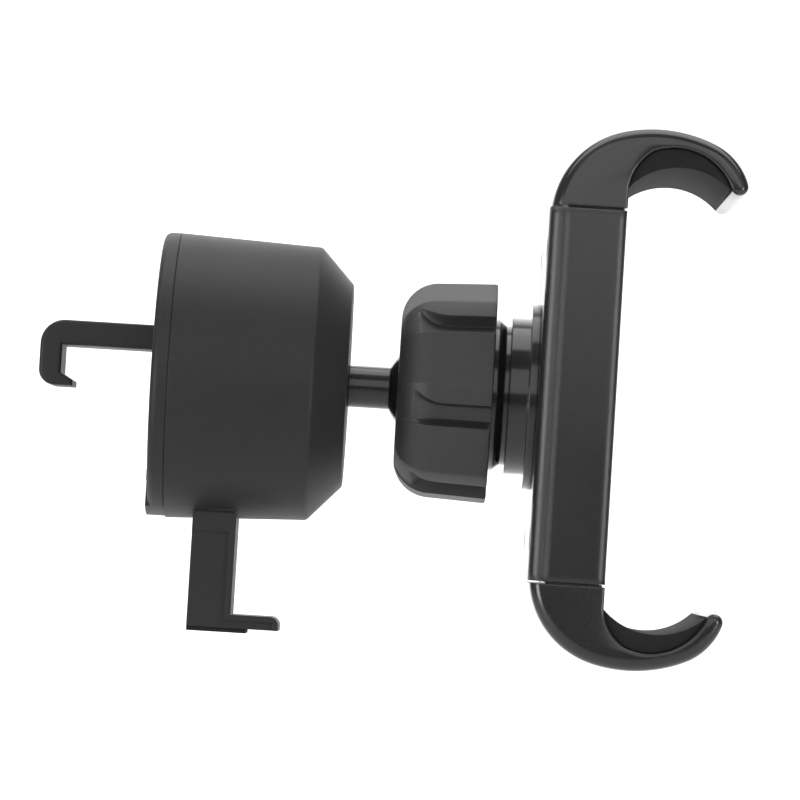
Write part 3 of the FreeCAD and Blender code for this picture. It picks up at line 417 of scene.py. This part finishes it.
class HolderLooks(bpy.types.PropertyGroup):
    """Colours, roughness, light and camera of the holder"""
    shell: bpy.props.FloatVectorProperty(
        name="Shell colour", description="Moulded plastic of barrel, hook, leg, cradle and arms",
        subtype="COLOR", size=3, min=0, max=1, default=(0.0105, 0.0105, 0.011))
    nut: bpy.props.FloatVectorProperty(
        name="Nut colour", description="Grained plastic of the clamp nut",
        subtype="COLOR", size=3, min=0, max=1, default=(0.011, 0.011, 0.0115))
    rubber: bpy.props.FloatVectorProperty(
        name="Rubber colour", description="Pads that touch the phone and the vent",
        subtype="COLOR", size=3, min=0, max=1, default=(0.006, 0.006, 0.0062))
    steel: bpy.props.FloatVectorProperty(
        name="Steel colour", description="Screws, washer and springs",
        subtype="COLOR", size=3, min=0, max=1, default=(0.46, 0.46, 0.47))
    shine: bpy.props.FloatProperty(
        name="Shell roughness", description="Roughness of the arms, cradle, ball stud and socket",
        subtype="FACTOR", min=0, max=1, default=0.14)
    matt: bpy.props.FloatProperty(
        name="Barrel roughness", description="Roughness of the barrel, its plate, the hook and the leg",
        subtype="FACTOR", min=0, max=1, default=0.50)
    floor_drop: bpy.props.FloatProperty(
        name="Floor drop", description="How far the floor lies under the origin",
        subtype="DISTANCE", unit="LENGTH", min=0, default=0.35)
    lamp_power: bpy.props.FloatProperty(
        name="Lamp power", description="Watts that each lamp has its own share of",
        min=0, default=2.6)
    camera_distance: bpy.props.FloatProperty(
        name="Camera distance", description="From the lens to the point it looks at",
        subtype="DISTANCE", unit="LENGTH", min=0.1, default=0.7223)
    camera_lens: bpy.props.FloatProperty(
        name="Camera lens", description="Focal length in millimetres",
        min=1, default=231.28)


NYLON = (0.35, 0.34, 0.31)
MATT_NODES = ("barrel", "back_plate", "vent_hook", "support_leg")
SHELL_NODES = ("upper_arm", "lower_arm", "ball_stud", "socket")
CRADLE_NODES = ("cradle_housing", "cradle_cover")
GEAR_NODES = ("ball_cup", "friction_liner", "pressure_ring", "pinion")
RUBBER_NODES = ("foot_pad", "front_pad", "upper_arm_pad", "lower_arm_pad")
STEEL_NODES = ("plate_screws", "stud_washer", "stud_screw", "hook_retainer", "hook_screw", "hook_spring",
               "socket_screws", "cover_screws", "pinion_pin", "upper_arm_spring", "lower_arm_spring")


class HOLDER_OT_finishes(bpy.types.Operator):
    """Make the finishes and lay them on the frame's nodes"""
    bl_idname = "holder.finishes"
    bl_label = "Finishes"

    def execute(self, context):
        look = settings()
        moulded, grain = moulding_group(), grain_group()
        shell = finish_of("Satin shell", moulded, look.shell, look.shine, specular=0.4)
        matt = finish_of("Matt shell", moulded, look.shell, look.matt, specular=0.2)
        cradle = finish_of("Cradle shell", moulded, look.shell, look.shine, specular=0.35, Soft_edge=1.5 * MM)
        gear = finish_of("Slippery nylon", moulded, NYLON, 0.45)
        nut = finish_of("Grained nut", grain, look.nut, 0.5, specular=0.35)
        rubber = finish_of("Soft rubber", rubber_group(), look.rubber, 0.75, specular=0.15)
        steel = finish_of("Plated steel", steel_group(), look.steel, metallic=1.0)
        for names, material in ((MATT_NODES, matt), (SHELL_NODES, shell), (CRADLE_NODES, cradle),
                                (GEAR_NODES, gear), (RUBBER_NODES, rubber), (STEEL_NODES, steel),
                                (("clamp_nut",), nut)):
            for name in names:
                dress(nodes[name], material)
        return {"FINISHED"}


def body_with(label):
    """Name of the body that a frame node belongs to."""
    for name, members in frame["record"]["behaviour"]["bodies"].items():
        if label in members:
            return name
    raise ValueError("no body holds " + label)


def show_as(piece, label):
    """Let a piece stand for a frame node: it takes the node's finish and body, and the node is hidden."""
    dress(piece, nodes[label].data.materials[0])
    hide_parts(label)
    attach(piece, body_with(label))


# Arms, all in millimetres. Knots of the claw are measured from the cradle's rear, from the arm's reach or
# from the cradle's front, and upwards from the claw's base

CLAW_GAP = 0.35
CREST = (9.1, 10.55)
BROW = (21.9, 9.55)
NOSE = (-0.1, 4.3)
TIP = (-2.3, 3.2)
ROOT = (3.1, 8.0)
FOOT_RISE = 3.0
HEEL_RISE = 1.5
HEEL_INSET = (1.0, 2.2)
FIRST_BEND = 12.34
RECESS_BEND = 8.4
ROOT_BEND = 7.0
PAD_BEND = 9.9
OUTER_STEPS = (18, 26, 14, 12)
RECESS_STEPS = 22
ROOT_STEPS = 12
PAD_STEPS = 26
EDGE_WIDE = 1.75
EDGE_NOSE = 0.7
NOSE_SHARE = 0.75
EDGE_FINE = 0.4
STEP_INSET = 0.4
STEP_RISE = (0.06, 1.0)
PAD_EDGE = 0.45
PAD_BACK_EDGE = 0.08
PAD_TAPER = 4.0
PAD_SINK = 0.05

TOOTH = math.pi
TOOTH_DEPTH = 1.63
GAP_MOUTH = TOOTH / 4 + 0.1 + 0.2475
GAP_ROOT = TOOTH / 4 + 0.1 - 0.3458
GAPS = range(-5, 2)
RACK_TIP = -5.32
TONGUE_OUTER = -10.8
TONGUE_END = -20.0
TONGUE_OVER = 1.6
TONGUE_HALF = 2.3
TONGUE_EDGE = 0.15
LUG_REACH = 4.2
LUG_HIGH = 2.0


def claw_parts():
    """Outer arcs of the claw, each tangent to the next, its inner arcs, its foot, and the pad's two ends.

    Half turn of an arc h = asin(chord / 2r); the next radius is chord / (2 sin h) with h set by tangency."""
    back, reach = low("upper_arm")[0], high("upper_arm")[0]
    front = high("cradle_housing")[0]
    base = high("cradle_housing")[2] + CLAW_GAP
    knots = np.array([(back, base), (back + CREST[0], base + CREST[1]), (back + BROW[0], base + BROW[1]),
                      (reach + NOSE[0], base + NOSE[1]), (reach + TIP[0], base + TIP[1])])
    chords = np.diff(knots, axis=0)
    slopes = np.arctan2(chords[:, 1], chords[:, 0])
    spans = np.hypot(chords[:, 0], chords[:, 1])
    half = math.asin(spans[0] / (2 * FIRST_BEND))
    outer = []
    for index, count in enumerate(OUTER_STEPS):
        if index:
            half = slopes[index - 1] - half - slopes[index]
        bend = spans[index] / (2 * math.sin(half))
        outer.append(arc_points(knots[index], knots[index + 1], -bend, count)[:-1])
    tip, root, foot = knots[-1], (front + ROOT[0], base + ROOT[1]), (front, base + FOOT_RISE)
    inner = np.concatenate([arc_points(tip, root, RECESS_BEND, RECESS_STEPS)[:-1],
                            arc_points(root, foot, ROOT_BEND, ROOT_STEPS)])
    heel = np.array([(front, base + HEEL_RISE), (front, base), (front - HEEL_INSET[0], base),
                     (back + HEEL_INSET[1], base)])
    return np.concatenate(outer), inner, heel, (tip, foot)


def tongue_outline():
    """Rack outline in the (y, z) plane: a straight edge with trapezoid gaps one circular pitch apart."""
    top = high("cradle_housing")[2] + TONGUE_OVER
    lug, floor = TONGUE_OUTER - LUG_REACH, RACK_TIP - TOOTH_DEPTH
    corners = [(lug, TONGUE_END), (RACK_TIP, TONGUE_END)]
    for gap in GAPS:
        level = gap * TOOTH
        corners += [(RACK_TIP, level - GAP_MOUTH), (floor, level - GAP_ROOT),
                    (floor, level + GAP_ROOT), (RACK_TIP, level + GAP_MOUTH)]
    corners += [(RACK_TIP, top), (TONGUE_OUTER, top), (TONGUE_OUTER, TONGUE_END + LUG_HIGH),
                (lug, TONGUE_END + LUG_HIGH)]
    return np.array(corners)


def parting_step(half_width, front):
    """Thin block between claw and cradle, set back all round so that the seam reads as a step."""
    seat = high("cradle_housing")[2]
    rear, front = low("cradle_housing")[0] + STEP_INSET, front - STEP_INSET
    floor, top = seat + STEP_RISE[0], seat + STEP_RISE[1]
    outline = [(rear, floor), (front, floor), (front, top), (rear, top)]
    return prism(outline, half_width - STEP_INSET, 0.0, steps=2)


def pad_shape(inner, ends, half_width):
    """Crescent between the claw's inner arcs and one arc of its own, its edge fading to 0 at both ends.

    Edge radius r = r0 * min(1, distance to the nearer end / taper)."""
    tip, foot = ends
    crescent = np.concatenate([inner[:-1], arc_points(foot, tip, -PAD_BEND, PAD_STEPS)[:-1]])
    reach = np.min([np.hypot(*(crescent - np.array(end)).T) for end in ends], axis=0)
    facing = np.arange(len(crescent)) >= len(inner)
    edge = np.where(facing, PAD_EDGE, PAD_BACK_EDGE) * np.clip(reach / PAD_TAPER, 0, 1)
    return prism(crescent - np.array([0, PAD_SINK]), half_width, edge)


class HOLDER_OT_arms(bpy.types.Operator):
    """Both claws with their racked tongues and curved rubber pads"""
    bl_idname = "holder.arms"
    bl_label = "Arms and pads"

    def execute(self, context):
        outer, inner, heel, ends = claw_parts()
        half_width = high("upper_arm")[1]
        share = np.linspace(0, 1, len(outer))
        fade = np.clip((share - NOSE_SHARE) / (1 - NOSE_SHARE), 0, 1)
        edge = np.concatenate([EDGE_WIDE - (EDGE_WIDE - EDGE_NOSE) * fade, np.full(len(inner), EDGE_FINE),
                               [EDGE_FINE, EDGE_FINE, 0.0, 0.0]])
        claw = prism(np.concatenate([outer, inner, heel]), half_width, edge,
                     inward={0: (-1.0, 0.0), len(outer) + len(inner) + 1: (1.0, 0.0)})
        tongue = prism(tongue_outline(), TONGUE_HALF, TONGUE_EDGE, plane="yz",
                       centre=(high("pinion")[0] + low("pinion")[0]) / 2, steps=3)
        step = parting_step(half_width, high("cradle_housing")[0])
        pad = pad_shape(inner, ends, high("upper_arm_pad")[1])
        for label, fit in (("upper", lambda shape: shape), ("lower", turned_over)):
            arm = merged(label + "_claw", fit(claw), fit(step), fit(tongue))
            show_as(arm, label + "_arm")
            cushion = merged(label + "_cushion", fit(pad))
            show_as(cushion, label + "_arm_pad")
        return {"FINISHED"}


# Phone rest

REST_RISE = 0.08
REST_CORNER = 4.0
REST_EDGE = 0.05
RIB_PITCH = 6.5
RIB_HALF = 2.3
RIB_CORNER = 1.0
RIB_PROUD = 0.1
RIB_EDGE = 0.08
RIB_INSET = 4.0


def rounded_box(half_wide, half_tall, corner, count=8):
    """Rectangle with quarter-circle corners, counter-clockwise from its lower right side."""
    points = []
    for quarter, (side, end) in enumerate(((1, -1), (1, 1), (-1, 1), (-1, -1))):
        turn = np.radians(90 * (quarter - 1)) + np.linspace(0, math.pi / 2, count)
        middle = np.array([side * (half_wide - corner), end * (half_tall - corner)])
        points.append(middle + corner * np.stack([np.cos(turn), np.sin(turn)], 1))
    return np.concatenate(points)


class HOLDER_OT_rest(bpy.types.Operator):
    """Ribbed rubber face that the phone leans on"""
    bl_idname = "holder.rest"
    bl_label = "Phone rest"

    def execute(self, context):
        seat, face = low("front_pad")[0], high("cradle_housing")[0] + REST_RISE
        half_wide, half_tall = high("front_pad")[1:]
        slab = prism(rounded_box(half_wide, half_tall, REST_CORNER), (face - seat) / 2, REST_EDGE, plane="yz",
                     centre=(face + seat) / 2, steps=3)
        rib = rounded_box(half_wide - RIB_INSET, RIB_HALF, RIB_CORNER)
        ribs = [prism(rib + np.array([0, level]), RIB_PROUD, RIB_EDGE, plane="yz", centre=face, steps=4)
                for level in RIB_PITCH * np.arange(-2.5, 3)]
        show_as(merged("phone_rest", slab, *ribs), "front_pad")
        return {"FINISHED"}


# Clamp nut. Radii and lengths in millimetres, angles in degrees below a lobe's top edge

NUT_RADIUS = 15.6
NUT_TAPER = math.tan(math.radians(2.6))
NUT_SHORT = 0.6
NUT_BEND = 5.2
NUT_BORE = 6.0
MOUTH = (8.8, 9.6)
MOUTH_DEEP = 0.8
THREAD_RADIUS = 11.0
THREAD_STEP = 0.05
RIM_START = 0.35
RIM_BEND = (0.1, 0.05)
RIM_DROP = 0.3
WEB = 1.6
LOBES = 7
LOBE_PITCH = 360.0 / LOBES
LOBE_TOP = 31.6
FLAT_END = 29.3
BEVEL_END = 39.6
BEVEL_FALL = 0.022
SCOOP_DEPTH = 1.75
SCOOP_WALL = 2.0
SCOOP_CLIMB = 8.5
SCOOP_FILL = 0.8
FADE_START = 6.6
FADE_LENGTH = 4.6
LOBES_FROM = 11.3


def nut_turns():
    """Column stations round the nut: 0 to 1 over a lobe's flat, to 2 over its bevel, to 3 over the scoop."""
    flat, bevel = np.linspace(0.005, 0.99, 11), 1 + np.linspace(0.02, 0.99, 7)
    wall = np.linspace(0.02, 0.17, 4)
    scoop = 2 + np.concatenate([wall, np.linspace(0.26, 0.74, 7), 1 - wall[::-1]])
    lobe = np.concatenate([flat, bevel, scoop])
    return np.concatenate([index * 3 + lobe for index in range(LOBES)])


def lobed(along, radius, station):
    """Lobes with u the angle below each one's top edge: r = min(radius * facet(u), scoop(u, x)).

    A facet is the chord cos(half) / cos(u - half), then a line that falls by 2.2 %. The scoop has depth
    d * min(1, v / w, (1 - v) / w) ** 0.5, with v from 0 to 1 across it; its upper edge climbs and its floor
    rises as a parabola towards the rear. u is piecewise linear in the station: columns follow the edges."""
    rear, face = low("clamp_nut")[0], high("clamp_nut")[0]
    cone = NUT_RADIUS - (face - along) * NUT_TAPER
    behind = np.clip((rear + FADE_START - along) / FADE_LENGTH, 0, 1) ** 2
    start = BEVEL_END - SCOOP_CLIMB * behind
    width = LOBE_PITCH - start
    lobe, part = np.floor(station / 3), station % 3
    on_bevel, in_scoop = FLAT_END + (part - 1) * (start - FLAT_END), start + (part - 2) * width
    u = np.where(part < 1, part * FLAT_END, np.where(part < 2, on_bevel, in_scoop))
    middle = FLAT_END / 2
    flat = np.cos(np.radians(middle)) / np.cos(np.radians(u - middle))
    slant = 1 - BEVEL_FALL * np.clip((u - FLAT_END) / (BEVEL_END - FLAT_END), 0, 1)
    facet = np.where(u < FLAT_END, flat, slant)
    v = np.clip((u - start) / width, 0, 1)
    wall = np.sqrt(np.clip(np.minimum(v, 1 - v) * width / SCOOP_WALL, 0, 1))
    floor = cone * (1 - BEVEL_FALL * (1 - v)) - SCOOP_DEPTH * (1 - SCOOP_FILL * behind) * wall
    scoop = np.where(u > start, floor, NUT_RADIUS)
    lobed_radius = np.where(radius > LOBES_FROM, np.minimum(radius * facet, scoop), radius)
    return lobed_radius, np.radians(LOBE_TOP - u - lobe * LOBE_PITCH)


class HOLDER_OT_nut(bpy.types.Operator):
    """Clamp nut with flat-topped lobes, scooped flutes and a rounded rear"""
    bl_idname = "holder.nut"
    bl_label = "Clamp nut"

    def execute(self, context):
        rear, face = low("clamp_nut")[0], high("clamp_nut")[0]
        slim = NUT_RADIUS - (face - rear - NUT_BEND) * NUT_TAPER
        sweep = np.linspace(0, math.pi / 2, 22)[:-1]
        shoulder = np.stack([rear + NUT_BEND * (1 - np.cos(sweep)), slim - NUT_BEND * (1 - np.sin(sweep))], 1)
        front = face - NUT_SHORT
        along = np.linspace(rear + NUT_BEND, front - RIM_START, 14)
        skin = np.stack([along, NUT_RADIUS - (face - along) * NUT_TAPER], 1)
        full = skin[-1, 1]
        mouth = [(rear + MOUTH_DEEP, NUT_BORE), (rear + MOUTH_DEEP, MOUTH[0]), (rear, MOUTH[1])]
        rim = [(front - RIM_BEND[0], full - RIM_BEND[1]), (front, full - RIM_DROP), (front, THREAD_RADIUS)]
        hollow = [(rear + WEB, THREAD_RADIUS - THREAD_STEP), (rear + WEB, NUT_BORE)]
        profile = np.concatenate([mouth, shoulder, skin, rim, hollow])
        nut = lathe("lobed_nut", profile, nut_turns(), lobed, angle=14.0)
        show_as(nut, "clamp_nut")
        return {"FINISHED"}


# Barrel

BARREL_EDGE = 0.12
BARREL_WALL = 2.2
BARREL_NARROWS = 0.8
CONE_LENGTH = 4.7
CONE_END = 14.2
STUD_HOLE = 2.3
NOSE_WALL = 2.5
NOSE_INSIDE = 14.0
CONE_INSIDE = (6.0, 16.9)
CONE_SOFT = 0.9
NOSE_SOFT = 0.5
BARREL_COLUMNS = 200


class HOLDER_OT_barrel(bpy.types.Operator):
    """Tapered barrel with a softened cone at its nose"""
    bl_idname = "holder.barrel"
    bl_label = "Barrel"

    def execute(self, context):
        rear, front = low("barrel")[0], high("barrel")[0]
        wide = high("barrel")[1]
        outside = [(rear, wide - BARREL_EDGE), (rear + BARREL_EDGE, wide),
                   (front - CONE_LENGTH, wide - BARREL_NARROWS, CONE_SOFT), (front, CONE_END, NOSE_SOFT)]
        inside = [(front, STUD_HOLE), (front - NOSE_WALL, STUD_HOLE), (front - NOSE_WALL, NOSE_INSIDE),
                  (front - CONE_INSIDE[0], CONE_INSIDE[1]), (rear, wide - BARREL_WALL)]
        turns = np.linspace(0, 2 * math.pi, BARREL_COLUMNS, endpoint=False)
        barrel = lathe("tapered_barrel", soften(outside + inside, 7), turns)
        show_as(barrel, "barrel")
        return {"FINISHED"}


# Stage, all in metres

FLOOR_HALF = 2.6
FLOOR_FRONT = -1.6
FLOOR_BACK = 0.9
FLOOR_BEND = 0.5
BACKDROP_TALL = 2.4

# Name, place, aim, width, height and share of the lamp power
LAMPS = (
    ("Key", (-0.35, -0.55, 0.75), (0.035, 0, 0), 0.7, 0.7, 0.25),
    ("Front", (0.034, -1.6, 0.66), (0.034, 0, 0.66), 1.6, 1.2, 4.0),
    ("Left side", (-0.75, -0.75, -0.05), (0.05, 0, 0), 0.5, 0.55, 3.2),
    ("Right side", (0.8, -0.65, -0.1), (0.05, 0, 0), 0.3, 0.45, 1.6),
    ("Fill", (0.6, -0.75, 0.3), (0.035, 0, 0), 0.7, 0.7, 0.5),
    ("Back wash", (0.0, 0.35, 1.1), (0.0, 1.3, 0.25), 1.6, 1.6, 11.0),
    ("Rim", (0.05, 0.6, 0.45), (0.035, 0, 0), 0.7, 0.7, 0.25),
)

# Turn, rise and roll of the camera in degrees, and the point in millimetres that it looks at
CAMERA_TURNS = (0.3, -1.6, 3.515)
CAMERA_AIM = (34.215, 0.0, -1.536)


def softbox(name, spot, aim, wide, tall, power):
    """Area light at a spot that faces an aim point."""
    lamp = bpy.data.lights.new(name, "AREA")
    lamp.shape = "RECTANGLE"
    lamp.size = wide
    lamp.size_y = tall
    lamp.energy = power
    holder = bpy.data.objects.new(name, lamp)
    holder.location = spot
    holder.rotation_euler = (Vector(aim) - Vector(spot)).to_track_quat("-Z", "Y").to_euler()
    bpy.context.scene.collection.objects.link(holder)
    return holder


def sweep_floor(name, drop):
    """Floor that curves up into a backdrop.

    Height = -drop + h * (1 - cos a) over the bend, a from 0 to 90 degrees, then straight up."""
    bend = np.linspace(0, math.pi / 2, 16)
    deep = np.concatenate([[FLOOR_FRONT], FLOOR_BACK + FLOOR_BEND * np.sin(bend), [FLOOR_BACK + FLOOR_BEND]])
    tall = np.concatenate([[0.0], FLOOR_BEND * (1 - np.cos(bend)), [BACKDROP_TALL]]) - drop
    wide = np.array([-FLOOR_HALF, FLOOR_HALF])
    spots = np.stack([np.tile(wide, len(deep)), np.repeat(deep, 2), np.repeat(tall, 2)], 1) / MM
    return make_mesh(name, spots, grid_faces(len(deep), 2, wrap_columns=False), angle=60)


def backdrop_paint():
    """Pale matt paint with a slow, faint cloud."""
    paint = bpy.data.materials.new("Backdrop paint")
    paint.use_nodes = True
    tree = paint.node_tree
    shader = tree.nodes["Principled BSDF"]
    place = node(tree, "ShaderNodeTexCoord").outputs["Object"]
    cloud = noise(tree, place, 3.0, 2.0)
    tone = node(tree, "ShaderNodeMix", data_type="RGBA")
    tone.inputs["A"].default_value = (0.86, 0.86, 0.86, 1)
    tone.inputs["B"].default_value = (0.90, 0.90, 0.90, 1)
    wire(tree, cloud.outputs["Fac"], tone.inputs["Factor"])
    wire(tree, tone.outputs["Result"], shader.inputs["Base Color"])
    shader.inputs["Roughness"].default_value = 0.9
    return paint


def studio_world():
    """Even white surround."""
    world = bpy.data.worlds.new("Studio")
    world.use_nodes = True
    sky = world.node_tree.nodes["Background"]
    sky.inputs["Color"].default_value = (1, 1, 1, 1)
    sky.inputs["Strength"].default_value = 0.30
    return world


def reference_camera(distance, lens_length):
    """Camera at a distance from its aim, turned, raised and rolled."""
    lens = bpy.data.cameras.new("Reference view")
    lens.lens = lens_length
    lens.sensor_width = 36.0
    lens.clip_start = 0.01
    turn, rise, roll = (math.radians(angle) for angle in CAMERA_TURNS)
    ahead = Vector((-math.sin(turn) * math.cos(rise), math.cos(turn) * math.cos(rise), -math.sin(rise)))
    right = Vector((math.cos(turn), math.sin(turn), 0))
    above = right.cross(ahead)
    across = math.cos(roll) * right + math.sin(roll) * above
    upward = math.cos(roll) * above - math.sin(roll) * right
    axes = Matrix((across, upward, -ahead)).transposed().to_4x4()
    axes.translation = Vector(CAMERA_AIM) * MM - ahead * distance
    eye = bpy.data.objects.new("Reference view", lens)
    eye.matrix_world = axes
    bpy.context.scene.collection.objects.link(eye)
    return eye


class HOLDER_OT_stage(bpy.types.Operator):
    """Pale floor, soft studio light and the camera of the reference view"""
    bl_idname = "holder.stage"
    bl_label = "Stage"

    def execute(self, context):
        look = settings()
        floor = sweep_floor("Backdrop", look.floor_drop)
        dress(floor, backdrop_paint())
        lamps = [softbox(name, spot, aim, wide, tall, look.lamp_power * share)
                 for name, spot, aim, wide, tall, share in LAMPS]
        context.scene.world = studio_world()
        context.scene.view_settings.view_transform = "Standard"
        context.scene.camera = reference_camera(look.camera_distance, look.camera_lens)
        return {"FINISHED"}


class HOLDER_PT_panel(bpy.types.Panel):
    """Sizes, colours and steps of the holder"""
    bl_idname = "HOLDER_PT_panel"
    bl_label = "Vent Holder"
    bl_space_type = "VIEW_3D"
    bl_region_type = "UI"
    bl_category = "Vent Holder"

    def draw(self, context):
        look = context.scene.holder_looks
        for name in HolderLooks.__annotations__:
            self.layout.prop(look, name)
        for step in STEPS:
            self.layout.operator(step.bl_idname)


STEPS = (HOLDER_OT_finishes, HOLDER_OT_barrel, HOLDER_OT_nut, HOLDER_OT_arms, HOLDER_OT_rest,
         HOLDER_OT_stage)
CLASSES = (HolderLooks, *STEPS, HOLDER_PT_panel)


def register():
    """Register the classes and the scene's sizes."""
    for item in CLASSES:
        bpy.utils.register_class(item)
    bpy.types.Scene.holder_looks = bpy.props.PointerProperty(type=HolderLooks)


def unregister():
    """Take the classes and the scene's sizes off again."""
    del bpy.types.Scene.holder_looks
    for item in reversed(CLASSES):
        bpy.utils.unregister_class(item)


def main():
    """Register, then run each step in order."""
    register()
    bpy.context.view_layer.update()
    for step in STEPS:
        prefix, name = step.bl_idname.split(".")
        getattr(getattr(bpy.ops, prefix), name)()


if __name__ == "__main__":
    main()
